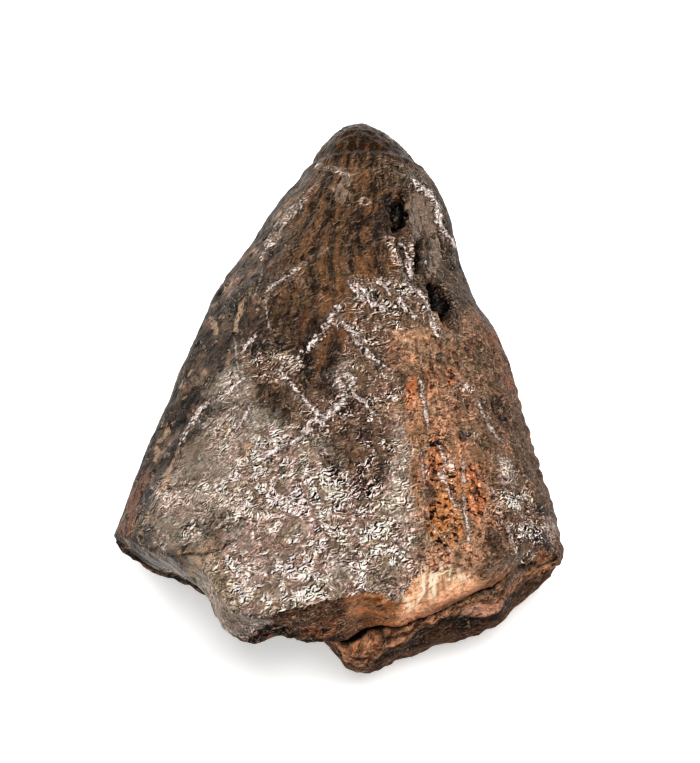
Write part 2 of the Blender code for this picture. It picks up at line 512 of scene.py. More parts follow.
@dataclass(frozen=True)
class ToothFinish:
    """Mineralised enamel: a painted ground, fine crinkles whose light and shade are painted into the
    colour, painted glints, streaks, and dark specks.

    Sizes are in millimetres; COOL to EVEN are what the ground's colour is multiplied by.
    """

    name: str = "mineralised_enamel"
    pale: Colour = (252, 243, 240)
    cream: Colour = (252, 240, 226)
    sheen: Colour = (218, 196, 180)
    # The thin lines' darker colour, where painted shade falls on them.
    ribbon_shade: Colour = (178, 150, 132)
    rosy: Colour = (250, 226, 224)
    streak_dark: Colour = (46, 33, 26)
    streak_warm: Colour = (126, 88, 54)
    speck: Colour = (24, 16, 12)
    rust: Colour = (82, 46, 26)
    vein: Colour = (108, 84, 64)
    squiggle: Colour = (178, 148, 122)
    # Pale colour of painted highlights: the glare strips above the lip and small glints.
    highlight_pale: Colour = (252, 232, 206)
    strip_dark: Colour = (150, 96, 60)
    strip_size: float = 0.22
    mottle_size: float = 0.26
    crackle_size: float = 0.14
    curl_size: float = 0.25
    leaf_size: float = 0.55
    fold_size: float = 0.31
    wrinkle_size: float = 0.3
    # The painted light and shade of the creases and folds is taken along slope_step.
    slope_step: Place = (-0.025, 0.028, 0.0)
    # Strength of the painted light and shade of the creases.
    emboss: float = 5.2
    leaf_stretch: Place = (0.95, 1.05, 1.0)
    grain_stretch: Place = (1.0, 1.0, 0.75)
    stripe_stretch: Place = (1.0, 1.0, 0.15)
    strip_stretch: Place = (1.0, 0.25, 0.25)
    patch_size: float = 1.6
    vein_size: float = 1.15
    blotch_size: float = 0.9
    fleck_size: float = 0.5
    stripe_size: float = 0.6
    dot_size: float = 0.18
    coat: float = 0.03
    coat_roughness: float = 0.1
    ior: float = 1.18
    grit: float = 2.0
    crackle: float = 1.3
    # Strength of the painted light and shade of the folds.
    fold_shading: float = 31.0
    clumps: float = 6.6
    fullness: float = 0.94
    brightest: Place = (0.9, 0.9, 0.9)
    inlay_cover: float = 0.8
    bump: float = 0.2

    COOL = (0.58, 0.66, 0.67, 1.0)
    WARM = (1.24, 1.09, 0.98, 1.0)
    DIM = (0.46, 0.42, 0.40, 1.0)
    ROSE = (1.08, 0.96, 0.98, 1.0)
    LICHEN = (0.99, 1.0, 0.9, 1.0)
    EVEN = (1.0, 1.0, 1.0, 1.0)

    def material(self) -> bpy.types.Material:
        """Build the material.

        Returns:
            The material, which reads the tint, the grain and the traits of its surface.
        """
        material = bpy.data.materials.new(self.name)
        material.use_nodes = True
        tree = material.node_tree
        shader = tree.nodes["Principled BSDF"]
        coats = Coats(self, Graph(tree))
        colour = coats.limited(coats.strips(coats.lines(coats.glints(coats.ground()))))
        for name, value in (("Base Color", colour), ("Roughness", coats.roughness()),
                            ("Normal", coats.bump())):
            tree.links.new(value.socket, shader.inputs[name])
        shader.inputs["IOR"].default_value = self.ior
        shader.inputs["Coat Weight"].default_value = self.coat
        shader.inputs["Coat Roughness"].default_value = self.coat_roughness
        return material


class Coats:
    """The finish's noises, and the coats of colour that are made of them, lowest first.

    Noises run from 0 to 1, and what `rise` and `crest` are given are levels of them.
    """

    def __init__(self, look: ToothFinish, graph: Graph) -> None:
        """Read the surface, and draw the noises that several coats share.

        Args:
            look: Colours, sizes and strengths.
            graph: The material's nodes.
        """
        self.look, self.graph = look, graph
        self.place = graph.value("ShaderNodeTexCoord", {}, "Object")
        self.on = SimpleNamespace(**{kind.name.lower(): self.read(kind.value, "Fac") for kind in Trait})
        grain = self.read("grain", "Vector")
        drawn = graph.stretched(grain, look.grain_stretch)
        wide = graph.stretched(self.place, look.leaf_stretch)
        along = graph.stretched(grain, look.stripe_stretch)
        self.mottle = graph.noise(drawn, look.mottle_size, 3.0, 0.6, 0.6)
        self.crackle = graph.noise(self.place, look.crackle_size, 2.0, 0.8, 0.7)
        self.curl = graph.noise(wide, look.curl_size, 1.5, 1.2, 0.5)
        self.leaf = graph.noise(wide, look.leaf_size, 3.0, 1.4, 0.6)
        self.fold, self.fold_slope = graph.folds(wide, look.fold_size, look.slope_step)
        self.crease, self.crease_slope = graph.folds(self.place, look.wrinkle_size, look.slope_step)
        self.patchy = graph.noise(self.place, look.patch_size, 4.0, 0.9, 0.65)
        self.stripes = graph.noise(along, look.stripe_size, 2.0, 0.4, 0.5)
        self.blotch = graph.noise(self.place, look.blotch_size, 2.5, 1.0, 0.5)
        self.fleck = graph.noise(drawn, look.fleck_size, 3.0, 1.4, 0.55)
        self.vein = (graph.noise(self.place, look.vein_size, 3.0, 0.9, 0.55).crest(0.5, 0.08)
                     * graph.math("MINIMUM", self.on.frost, 1.0))
        self.density = (self.on.frost * (self.patchy.rise(0.4, 0.57) * 0.72 + 0.32)
                        * (self.vein * 0.85).rest())
        self.calm = self.on.blotches * (self.on.frost * 0.6).rest()
        self.dots = (graph.noise(self.place, look.dot_size, 2.0, 0.3) + self.on.specks * -0.065
                     + self.blotch.swing(0.4))
        self.speck = graph.math("MINIMUM", self.dots.rise(0.345, 0.3) * self.on.specks * 0.8, 1.0)
        self.side = self.on.side + self.leaf.swing(5.0) + self.curl.swing(3.0) + self.crackle.swing(2.0)
        self.along = self.on.line * self.fleck.rise(0.37, 0.44)
        self.line = self.side.crest(0.0, 1.75) * self.along * self.curl.rise(0.34, 0.46)

    def read(self, name: str, output: str) -> Value:
        """What the surface stores under a name."""
        return self.graph.value("ShaderNodeAttribute", {}, output, attribute_name=name,
                                attribute_type="GEOMETRY")

    def ground(self) -> Value:
        """Blotches, veins, streaks, inlays and specks over the painted ground, and small painted glints.

        Returns:
            The colour before the light and shade of the relief is drawn on it, with small painted glints
            already set.
        """
        on, look, blend = self.on, self.look, self.graph.blend
        ground = self.read("tint", "Color")
        for cover, shade in ((self.blotch.rise(0.5, 0.55) * self.calm, look.COOL),
                             (self.fleck.rise(0.54, 0.59) * self.calm, look.WARM),
                             (self.fleck.rise(0.44, 0.39) * self.calm, look.DIM),
                             (self.blotch.rise(0.49, 0.44) * on.frost, look.ROSE),
                             (self.blotch.rise(0.55, 0.6) * on.frost, look.LICHEN)):
            ground = self.graph.vector("MULTIPLY", ground, blend(cover, look.EVEN, shade))
        ground = blend(self.vein * 0.8, ground, look.vein)
        warm = self.stripes.rise(0.52, 0.58) * self.fleck.rise(0.38, 0.5)
        dark = self.stripes.rise(0.48, 0.42) * self.mottle.rise(0.66, 0.46)
        ground = blend(warm * on.streaks * 0.6, ground, look.streak_warm)
        ground = blend(dark * on.streaks * 0.7, ground, look.streak_dark)
        border = self.read("mark", "Alpha") + self.leaf.swing(0.7) + self.mottle.swing(0.4)
        inlay = border.rise(0.46, 0.56) * self.fleck.rise(0.36, 0.46) * look.inlay_cover
        ground = blend(inlay, ground, self.read("mark", "Color"))
        ground = blend(self.speck, ground, blend(self.curl.rise(0.42, 0.58), look.speck, look.rust))
        # Small pale dots on the spotted areas: painted glints.
        return blend(self.dots.rise(0.54, 0.59) * on.specks.rise(1.0, 1.6) * 0.6, ground, look.highlight_pale)

    def tone(self) -> Value:
        """Light and shade of the fine relief.

        Returns:
            Above 0 where it is lit, and below 0 where it is shaded.
        """
        on, look, leaf = self.on, self.look, self.leaf
        crackle = self.crackle.swing(look.crackle)
        # The creases' slope times its strength is painted light and shade along the creases.
        grit = self.mottle.swing(look.grit) + crackle + self.crease_slope * look.emboss
        grit = grit * on.grit * (self.patchy.rise(0.42, 0.56) * 0.5 + 0.65)
        worms = self.curl.crest(0.5, 0.1) * 2.0 + -1.0
        # The folds' slope times its strength, the worms and the dark crests are painted light and shade of
        # the crinkles.
        curls = (self.fold_slope * look.fold_shading + worms * 0.7 + crackle + leaf.crest(0.46, 0.03) * -0.9
                 + self.patchy.swing(look.clumps))
        bare = (on.streaks * 0.85).rest()
        # Dark lines beside the pale squiggles and elsewhere, taken off the tone: painted shadow of the
        # crinkles.
        shadow_lines = (leaf.crest(0.52, 0.025) * self.blotch.rise(0.48, 0.54) * bare * self.calm
                  + leaf.crest(0.43, 0.022) * self.blotch.rise(0.48, 0.4) * bare)
        return grit + curls * self.density + shadow_lines * -1.2 * on.blotches

    def glints(self, ground: Value) -> Value:
        """Light and shade the ground, and set squiggles and glints on it.

        Args:
            ground: The colour below.

        Returns:
            The colour.
        """
        look, graph, tone = self.look, self.graph, self.tone()
        above = graph.math("MAXIMUM", tone, 0.0)
        factor = graph.math("EXPONENT", graph.math("MINIMUM", tone, 0.0) + above * 0.78)
        lit = graph.math("EXPONENT", above * -0.3).rest()
        # Where the tone is lit, the colour is blended towards the sheen colour: painted sheen.
        colour = graph.blend(lit, graph.scaled(ground, factor), look.sheen)
        squiggle = (self.leaf.crest(0.58, 0.034) * self.mottle.rise(0.42, 0.5)
                    * self.blotch.rise(0.48, 0.54) * (self.on.streaks * 0.85).rest() * self.calm
                    * self.crackle.rise(0.3, 0.5) * 0.85)
        colour = graph.blend(squiggle, colour, look.squiggle)
        glint = graph.blend(self.patchy.rise(0.45, 0.6), look.pale, look.cream)
        glint = graph.blend(self.fleck.rise(0.52, 0.58), glint, look.rosy)
        # Pale glint colours where the tone is highest: painted glints.
        flash = graph.math("MULTIPLY", tone.rise(0.4, 1.25) * self.density, 0.95, clamp=True)
        return graph.blend(flash, colour, glint)

    def lines(self, colour: Value) -> Value:
        """Draw the thin pale lines, pale rims whose brightness is partly painted highlight, and their dark
        outlines, which are painted shadow.

        Args:
            colour: The colour below.

        Returns:
            The colour.
        """
        look, blend = self.look, self.graph.blend
        # A dark outline in the speck colour beside every line: painted shadow.
        colour = blend(self.side.crest(0.0, 3.1) * self.along * 0.7, colour, look.speck)
        # The line is lighter where the folds slope one way and darker where they slope the other: painted
        # light and shade.
        ribbon = blend(self.fold_slope.rise(-0.03, 0.03), look.ribbon_shade, look.pale)
        return blend(self.line * (self.mottle.rise(0.4, 0.46) * 0.4 + 0.55), colour, ribbon)

    def strips(self, colour: Value) -> Value:
        """Draw the bright strips above the lip, which are painted glare highlights, and the dark strips.

        Args:
            colour: The colour below.

        Returns:
            The colour.
        """
        look, blend = self.look, self.graph.blend
        falling = self.graph.stretched(self.place, look.strip_stretch)
        strip = self.graph.noise(falling, look.strip_size, 2.0, 0.8) + self.mottle.swing(0.35)
        colour = blend(strip.rise(0.42, 0.34) * self.on.glare * 0.6, colour, look.strip_dark)
        # Bright strips where the lip glares: painted highlights.
        return blend(strip.rise(0.51, 0.58) * self.on.glare * 0.9, colour, look.highlight_pale)

    def limited(self, colour: Value) -> Value:
        """A colour made a little greyer, and never too bright."""
        inputs = {"Saturation": self.look.fullness, "Color": colour}
        return self.graph.vector("MINIMUM", self.graph.value("ShaderNodeHueSaturation", inputs),
                                 self.look.brightest)

    def roughness(self) -> Value:
        """How matt the surface is."""
        return self.graph.math("MAXIMUM", self.mottle.swing(0.3) + 0.95 + self.on.gloss * -0.8, 0.12)

    def bump(self) -> Value:
        """Relief that is too fine for the mesh.

        Returns:
            The surface's normal.
        """
        on, look, graph = self.on, self.look, self.graph
        grains = graph.noise(self.place, look.mottle_size, 1.0, 0.4)
        curls = graph.noise(self.place, look.curl_size, 0.0, 1.8) * 0.3 + self.fold * 1.5
        height = (curls * self.density + self.crease * on.grit * 0.6 + grains * 0.2
                  + self.stripes * on.streaks * 0.3 + self.line * 0.1 + self.speck * -0.1)
        inputs = {"Height": height, "Strength": 1.0, "Distance": look.bump * MM}
        return graph.value("ShaderNodeBump", inputs)


# ---- the pieces


@dataclass
class DenticleRow:
    """The serrated cutting edge: small chisel-like denticles repeated along it, in millimetres.

    A denticle's half sizes are `out` from the edge, `along` it and `across` it, give or take the
    share `uneven`.
    """

    edge: BVHTree
    pitch: float = 0.53
    first_y: float = -6.8
    last_y: float = -0.4
    out: float = 0.14
    along: float = 0.17
    across: float = 0.46
    sink: float = 0.2
    uneven: float = 0.45
    seed: int = 7

    RAY_START = 20.0
    HEIGHTS = np.arange(2.0, 6.0, 0.15)
    NEAR = 0.15

    def path(self) -> list[Vector]:
        """Follow the cutting edge.

        Returns:
            A point a little inside the edge at every denticle.
        """
        points = []
        for y in np.arange(self.first_y, self.last_y, self.pitch):
            hits = [self.edge.ray_cast(Vector((self.RAY_START, y + step, z)), Vector((-1, 0, 0)))[0]
                    for z in self.HEIGHTS for step in (-self.NEAR, 0.0, self.NEAR)]
            outermost = max((hit for hit in hits if hit), key=lambda hit: hit.x)
            points.append(outermost - Vector((self.sink, 0, 0)))
        return points

    def tree(self) -> bpy.types.NodeTree:
        """The node tree that sets a denticle at every point of a path.

        Returns:
            The tree, with the denticle's sizes as named inputs.
        """
        tree = bpy.data.node_groups.new("denticle_row", "GeometryNodeTree")
        for name, kind in (("Path", "Geometry"), ("Size", "Vector"), ("Smallest", "Float"),
                           ("Largest", "Float"), ("Seed", "Int"), ("Finish", "Material")):
            tree.interface.new_socket(name=name, in_out="INPUT", socket_type="NodeSocket" + kind)
        tree.interface.new_socket(name="Row", in_out="OUTPUT", socket_type="NodeSocketGeometry")
        graph = Graph(tree)
        given = graph.add("NodeGroupInput", {}).outputs
        curve = graph.value("GeometryNodeMeshToCurve", {"Mesh": given["Path"]})
        points = graph.add("GeometryNodeCurveToPoints", {"Curve": curve}, mode="EVALUATED").outputs
        lean = graph.value("FunctionNodeAlignRotationToVector", {"Vector": points["Tangent"]},
                           axis="Y", pivot_axis="Z")
        limits = {2: given["Smallest"], 3: given["Largest"], "Seed": given["Seed"]}
        vary = graph.value("FunctionNodeRandomValue", limits, 1, data_type="FLOAT")
        size = graph.scaled(given["Size"], vary)
        ball = graph.value("GeometryNodeMeshUVSphere", {"Segments": 16, "Rings": 10, "Radius": 1.0})
        row = graph.value("GeometryNodeInstanceOnPoints", {
            "Points": points["Points"], "Instance": ball, "Rotation": lean, "Scale": size})
        solid = graph.value("GeometryNodeRealizeInstances", {"Geometry": row})
        finished = graph.value("GeometryNodeSetMaterial", {"Geometry": solid, "Material": given["Finish"]})
        graph.add("NodeGroupOutput", {"Row": finished})
        return tree

    def mesh(self, finish: bpy.types.Material) -> bpy.types.Mesh:
        """Grow the row.

        Args:
            finish: The material that the tree sets.

        Returns:
            The denticles as one plain mesh.
        """
        points, tree = self.path(), self.tree()
        line = bpy.data.meshes.new("edge_path")
        line.from_pydata(points, [(i, i + 1) for i in range(len(points) - 1)], [])
        given = {"Size": (self.out, self.along, self.across), "Smallest": 1 - self.uneven,
                 "Largest": 1 + self.uneven, "Seed": self.seed, "Finish": finish}
        inputs = {item.identifier: given[item.name] for item in tree.interface.items_tree
                  if item.item_type == "SOCKET" and item.in_out == "INPUT" and item.name in given}
        return modified(line, "NODES", {"node_group": tree}, inputs)


def modified(base: bpy.types.Mesh, kind: str, settings: dict, inputs: dict) -> bpy.types.Mesh:
    """Apply a modifier to a mesh.

    Args:
        base: The mesh, which is used up.
        kind: Blender's name of the modifier's type.
        settings: The modifier's own settings.
        inputs: Identifier to value, for the inputs of a node tree.

    Returns:
        The result as a plain mesh.
    """
    holder = bpy.data.objects.new("holder", base)
    bpy.context.scene.collection.objects.link(holder)
    modifier = holder.modifiers.new("change", kind)
    for name, setting in settings.items():
        setattr(modifier, name, setting)
    for identifier, given in inputs.items():
        modifier[identifier] = given
    bpy.context.view_layer.update()
    shown = holder.evaluated_get(bpy.context.evaluated_depsgraph_get())
    result = bpy.data.meshes.new_from_object(shown)
    bpy.data.objects.remove(holder)
    bpy.data.meshes.remove(base)
    return result


def read_points(mesh: bpy.types.Mesh, what: str = "co") -> Array:
    """Every vertex's place or normal.

    Args:
        mesh: The mesh.
        what: Blender's name of what is read.

    Returns:
        The places or normals, one row each.
    """
    values = np.empty(len(mesh.vertices) * 3, np.float32)
    mesh.vertices.foreach_get(what, values)
    return values.reshape(-1, 3).astype(float)


@dataclass
class ToothBody:
    """The whole tooth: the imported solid, made fine, roughened and marked. Sizes are in millimetres."""

    solid: bpy.types.Object
    finish: ToothFinish
    voxel: float = 0.096
    name: str = "tooth_enamel"

    WELD = 1e-6
    SHRINK, SWELL = 0.5, -0.52
    EASED_SWEEPS, WORN_SWEEPS = 5, 10
    BASE_Y = -5.8
    RAY_START, RAY_REACH = 0.03, 1.3

    def build(self) -> bpy.types.Object:
        """Make the finished piece.

        Returns:
            The piece, at the origin, with its place in its mesh.
        """
        material = self.finish.material()
        mesh = self.fine_mesh(material)
        log.info("fine surface: %d points", len(mesh.vertices))
        skin = self.skin_of(mesh)
        marks = Markings(skin, self.cavities(mesh))
        height = marks.relief()
        mesh.vertices.foreach_set("co", (skin.points + skin.normals * height[:, None]).ravel())
        mesh.update()
        marks.write(mesh)
        mesh.transform(Matrix.Scale(MM, 4))
        mesh.materials.clear()
        mesh.materials.append(material)
        mesh.shade_smooth()
        piece = bpy.data.objects.new(self.name, mesh)
        bpy.context.scene.collection.objects.link(piece)
        return piece

    def fine_mesh(self, material: bpy.types.Material) -> bpy.types.Mesh:
        """Join the solid and its denticles, and cover them with small even faces.

        Args:
            material: What the denticles' tree sets on them.

        Returns:
            The mesh.
        """
        shape = bmesh.new()
        shape.from_mesh(self.solid.data)
        bmesh.ops.remove_doubles(shape, verts=shape.verts, dist=self.WELD)
        bmesh.ops.scale(shape, vec=Vector((1, 1, 1)) / MM, verts=shape.verts)
        row = DenticleRow(BVHTree.FromBMesh(shape)).mesh(material)
        log.info("denticle row: %d faces", len(row.polygons))
        shape.from_mesh(row)
        joined = bpy.data.meshes.new(self.name)
        shape.to_mesh(joined)
        shape.free()
        return modified(joined, "REMESH", {"mode": "VOXEL", "voxel_size": self.voxel}, {})

    def skin_of(self, mesh: bpy.types.Mesh) -> Skin:
        """Ease the facets of the solid out of the fine mesh, and round its worn edge.

        Args:
            mesh: The fine mesh, which is changed.

        Returns:
            Its surface.
        """
        points = read_points(mesh)
        edges = np.empty(len(mesh.edges) * 2, np.int64)
        mesh.edges.foreach_get("vertices", edges)
        first, second = edges.reshape(-1, 2).T
        count = len(points)
        degree = np.bincount(first, minlength=count) + np.bincount(second, minlength=count)
        every = np.ones(count)
        crown = smooth(read_points(mesh, "normal")[:, 1], -0.45, -0.2)
        eased = np.where(points[:, 1] < self.BASE_Y, crown, every)
        worn = smooth(points[:, 0] - 0.3 * np.abs(points[:, 1]), 3.2, 3.6) * (points[:, 1] < 0.5)
        sweeps = [(self.SHRINK, every), (self.SWELL, every)]
        sweeps += [(self.SHRINK, eased), (self.SWELL, eased)] * self.EASED_SWEEPS
        sweeps += [(self.SHRINK, worn)] * self.WORN_SWEEPS
        for strength, share in sweeps:
            total = np.stack([np.bincount(first, points[second, axis], count)
                              + np.bincount(second, points[first, axis], count)
                              for axis in range(3)], 1)
            points += (total / degree[:, None] - points) * (strength * share)[:, None]
        mesh.vertices.foreach_set("co", points.ravel())
        mesh.update()
        return Skin(read_points(mesh), read_points(mesh, "normal"))

    def cavities(self, mesh: bpy.types.Mesh) -> Array:
        """Find the pits and the crack.

        Args:
            mesh: The fine mesh.

        Returns:
            1 where a point faces another wall close by, 0 where it faces the open.
        """
        shape = bmesh.new()
        shape.from_mesh(mesh)
        walls = BVHTree.FromBMesh(shape)
        hollow = np.zeros(len(shape.verts))
        for i, vertex in enumerate(shape.verts):
            start = vertex.co + vertex.normal * self.RAY_START
            far = walls.ray_cast(start, vertex.normal, self.RAY_REACH)[3]
            hollow[i] = 0.0 if far is None else 1 - far / self.RAY_REACH
        shape.free()
        return hollow


@dataclass(frozen=True)
class Inlay:
    """Crisp-edged areas of one colour."""

    colour: Colour
    marks: Marks


@dataclass
class Markings:
    """Relief and colour of the tooth's skin, zone by zone.

    `zone` holds each zone's share of every point, from 0 to 1; `above` is a point's height over the
    crack across the broken base; `core` is its distance to the nearest lump's middle, in lumps.
    Places and lengths are in millimetres, and noises run from about -1 to 1.
    """

    skin: Skin
    cavity: Array
    zone: SimpleNamespace = field(init=False)
    above: Array = field(init=False)
    core: Array = field(init=False)

    # Where the enamel is crinkled: its glints and the light and shade of its crinkles are painted, and
    # FROST, GLOW and SPARKS also pale the ground as painted sheen.
    FROST = (
        coarse((-0.6, -7.6), 2.7, 3.0, 0, 0.9), coarse((-1.9, -5.0), 1.7, 1.9, 30, 0.8),
        Patch((1.4, -9.0), 1.0, 1.1, 0, 0.2), Patch((-2.6, -8.6), 1.6, 1.6, 0, 0.4),
    )
    VEIL = (
        Patch((0.9, -0.2), 1.5, 0.6, 15, 0.4), Patch((1.5, 1.6), 1.0, 1.1, 0, 0.5),
        Patch((1.2, -1.8), 0.7, 0.8, 0, 0.4), Patch((-2.4, -0.9), 0.6, 0.8, 0, 0.4),
        Patch((-0.5, -2.9), 0.8, 1.0, 0, 0.4), coarse((1.0, -4.2), 1.8, 0.8, 0, 0.5),
        Patch((6.1, -6.1), 1.7, 0.85, -12, 0.4),
    )
    GLOW = (
        coarse((-1.2, -6.7), 1.7, 1.3, 0, 0.7), Patch((0.2, -1.3), 0.6, 0.5, 0, 0.3),
        Streak(((5.5, -4.1), (5.65, -5.0), (5.95, -6.0), (6.25, -6.8)), 0.3, 0.25),
        Patch((6.95, -5.8), 0.4, 0.3, 0, 0.2), Patch((-2.3, -8.4), 1.4, 1.6, 0, 0.5),
    )
    DIM_FROST = (
        coarse((-3.7, -4.4), 2.0, 1.6, 10, 0.7), coarse((-5.1, -5.7), 1.7, 1.25, 10, 0.5),
        Patch((1.9, -5.6), 2.6, 0.5, 0, 0.4), Patch((-3.5, -1.3), 0.9, 0.7, 30, 0.5),
    )
    SPARKS = (
        Streak(((0.2, 1.5), (-0.7, 0.05), (-1.8, -1.5)), 0.13),
        Streak(((0.1, 1.0), (0.45, 0.5), (0.75, -0.25)), 0.14),
        Streak(((-1.8, -1.55), (-1.1, -2.4), (-0.5, -3.2)), 0.15, 0.2),
        Streak(((0.3, -2.0), (-1.3, -3.55), (-2.8, -4.4)), 0.24, 0.25),
        Streak(((0.45, 2.3), (1.1, 1.75), (1.8, 2.15), (2.3, 1.9)), 0.26, 0.25),
        Streak(((2.1, 2.6), (2.8, 1.6), (3.35, 0.6)), 0.12, 0.1),
        Streak(((2.5, 6.95), (3.15, 6.2), (3.35, 5.4), (3.6, 4.7)), 0.13, 0.1),
        Streak(((2.4, 4.1), (2.45, 3.0)), 0.1, 0.08), Streak(((2.8, 3.7), (3.0, 2.7)), 0.06, 0.05),
        Streak(((1.6, 4.3), (1.9, 3.3), (2.2, 2.5)), 0.14, 0.2),
        Streak(((-0.7, 6.75), (-1.4, 5.9), (-2.0, 5.0), (-2.6, 3.7)), 0.12, 0.2),
        Streak(((-1.2, 6.4), (-1.9, 5.4), (-2.5, 4.4)), 0.08, 0.15),
        Streak(((-0.5, 3.75), (-1.1, 3.3), (-1.8, 2.75), (-2.4, 2.3)), 0.09, 0.15),
        Streak(((-0.75, 7.6), (-0.2, 7.25), (0.2, 6.9)), 0.1, 0.08),
        Streak(((-3.1, -0.9), (-3.5, -1.3), (-3.9, -1.65)), 0.1, 0.1),
        Streak(((-2.75, -2.2), (-3.1, -2.8), (-3.35, -3.15)), 0.1, 0.1),
        Streak(((-3.2, 0.2), (-3.4, -0.3)), 0.15, 0.1), Patch((0.15, -1.45), 0.35, 0.3, 0, 0.15),
        Patch((2.2, 5.3), 0.2, 0.25, 0, 0.1), Patch((3.9, 0.6), 0.15, 0.3, 0, 0.1),
        Patch((3.6, -4.7), 0.5, 0.25, 0, 0.15), Patch((2.8, -5.4), 0.6, 0.2, 0, 0.1),
        Patch((4.2, -1.3), 0.2, 0.25, 0, 0.1), Patch((4.35, -3.3), 0.3, 0.25, 0, 0.1),
    )
    WORN = (coarse((0.3, 4.9), 3.6, 1.9, 0, 0.6), Patch((-0.6, 1.2), 1.6, 1.5, 20, 0.5))
    SPALL = (Patch((-0.45, -0.6), 2.1, 0.85, -24, 0.25),)
    PURPLE = (
        Patch((0.5, -3.4), 1.3, 0.55, 0, 0.5), Patch((0.9, -5.1), 1.2, 0.5, 8, 0.5),
        Patch((-0.3, -4.9), 0.8, 0.22, -35, 0.4),
    )
    AMBER = (Patch((2.7, -2.4), 1.7, 0.6, 0, 0.4), Patch((3.6, -5.2), 2.1, 1.1, 0, 0.5))
    PLATE = (Patch((2.8, 5.6), 1.15, 0.5, 8, 0.15), Patch((3.1, 3.9), 0.8, 0.25, 6, 0.15))
    SHELF = (Patch((-4.15, -8.7), 1.6, 0.6, -22, 0.25),)
    EDGE = (
        (-9.0, -5.0), (0.0, -10.0), (0.4, -9.95), (0.9, -9.75), (1.3, -9.7), (1.7, -9.8), (2.0, -9.8),
        (2.25, -9.4), (2.7, -8.95), (3.3, -8.9), (4.0, -8.9), (4.7, -8.75), (5.2, -8.5), (5.7, -8.1),
        (6.7, -7.2),
    )
    CRACK = (
        (-9.5, 3.4), (-6.5, 4.4), (-3.6, 5.7), (-2.0, 5.9), (-0.7, 4.6), (0.0, 4.4), (1.2, 5.0), (2.6, 5.9),
        (5.3, 5.9), (6.6, 4.6), (9.5, 3.6),
    )
    CRACKS = (
        Streak(((-5.2, -6.6), (-4.5, -6.5), (-3.8, -6.9), (-3.3, -6.6)), 0.06, 0.2),
        Streak(((-5.0, -7.6), (-4.2, -7.75), (-3.4, -7.4)), 0.06, 0.2),
        Streak(((-5.9, -4.8), (-5.3, -5.0), (-4.7, -4.8)), 0.05, 0.2),
        Streak(((-0.4, -4.6), (0.1, -5.4), (0.3, -5.9)), 0.07, 0.2),
    )
    LINES = (*(Streak(path, half_width, 0.05, True) for half_width, path in (
        (0.085, ((338, 312), (331, 323), (320, 336), (310, 349), (298, 359), (280, 372))),
        (0.07, ((282, 376), (300, 396), (315, 412), (322, 424))),
        (0.1, ((322, 424), (335, 412), (342, 404))),
        (0.1, ((325, 420), (313, 425), (305, 437), (290, 445), (275, 455), (256, 462))),
        (0.075, ((345, 327), (354, 337), (360, 347), (370, 358), (384, 368))),
        (0.07, ((336, 385), (345, 377), (354, 380), (350, 392), (360, 400), (378, 420))),
        (0.07, ((352, 288), (362, 300))), (0.08, ((360, 288), (372, 306), (384, 312))),
        (0.08, ((380, 285), (395, 299), (406, 311), (416, 320))),
        (0.085, ((403, 248), (408, 262), (412, 278))),
        (0.075, ((410, 288), (425, 300), (430, 318), (437, 335))),
        (0.1, ((415, 183), (428, 192), (438, 206), (440, 222), (447, 236), (455, 245))),
        (0.07, ((245, 350), (253, 340))), (0.03, ((262, 272), (260, 285), (254, 296))),
        (0.055, ((271, 289), (280, 283), (290, 277))), (0.03, ((267, 303), (268, 320), (271, 332))),
        (0.06, ((225, 396), (236, 387), (245, 380))),
        (0.07, ((181, 448), (188, 430), (197, 416), (207, 405))),
        (0.055, ((235, 435), (240, 426), (246, 416), (252, 408))),
        (0.035, ((235, 342), (237, 356), (239, 372))), (0.055, ((420, 378), (423, 400), (427, 426))),
        (0.03, ((421, 356), (423, 372))), (0.05, ((478, 406), (486, 424), (500, 442))),
        (0.06, ((437, 444), (443, 460))), (0.045, ((461, 462), (463, 482))),
        (0.03, ((420, 450), (423, 476), (422, 511))),
    )), *(Streak(path, half_width, 0.05) for half_width, path in (
        (0.06, ((3.3, -4.9), (3.55, -5.5), (3.75, -6.0))),
        (0.05, ((4.05, -5.6), (4.15, -6.5), (4.3, -7.3))), (0.03, ((5.05, -5.1), (5.3, -6.2), (5.6, -7.0))),
        (0.035, ((5.55, -6.5), (5.7, -7.0), (5.8, -7.4))),
        (0.025, ((2.85, -6.6), (3.3, -7.3), (3.7, -7.8))), (0.02, ((1.0, -2.2), (0.5, -2.5))),
        (0.02, ((2.6, 4.7), (2.85, 5.3), (2.93, 5.8))), (0.05, ((-1.33, 5.77), (-1.55, 5.5))),
        (0.05, ((-1.8, 5.2), (-2.1, 4.85))), (0.04, ((-2.3, 4.6), (-2.45, 4.35))),
        (0.04, ((-1.5, 6.0), (-1.75, 5.7))), (0.04, ((-2.0, 5.5), (-2.2, 5.2))),
        (0.045, ((-4.1, -6.9), (-3.6, -6.5), (-3.2, -6.1))),
    )))
    CREVICES = (
        fine((2.0, 5.55), 0.95, 0.26, 8, 0.26), fine((2.64, 3.8), 0.75, 0.15, 8, 0.14),
        fine((3.28, 1.95), 0.95, 0.24, -14, 0.26), fine((1.2, 1.95), 0.2, 0.13, 0, 0.1),
    )
    RING = Patch((365, 202), 0.19, 0.19, 0, 0.0, seen=True)
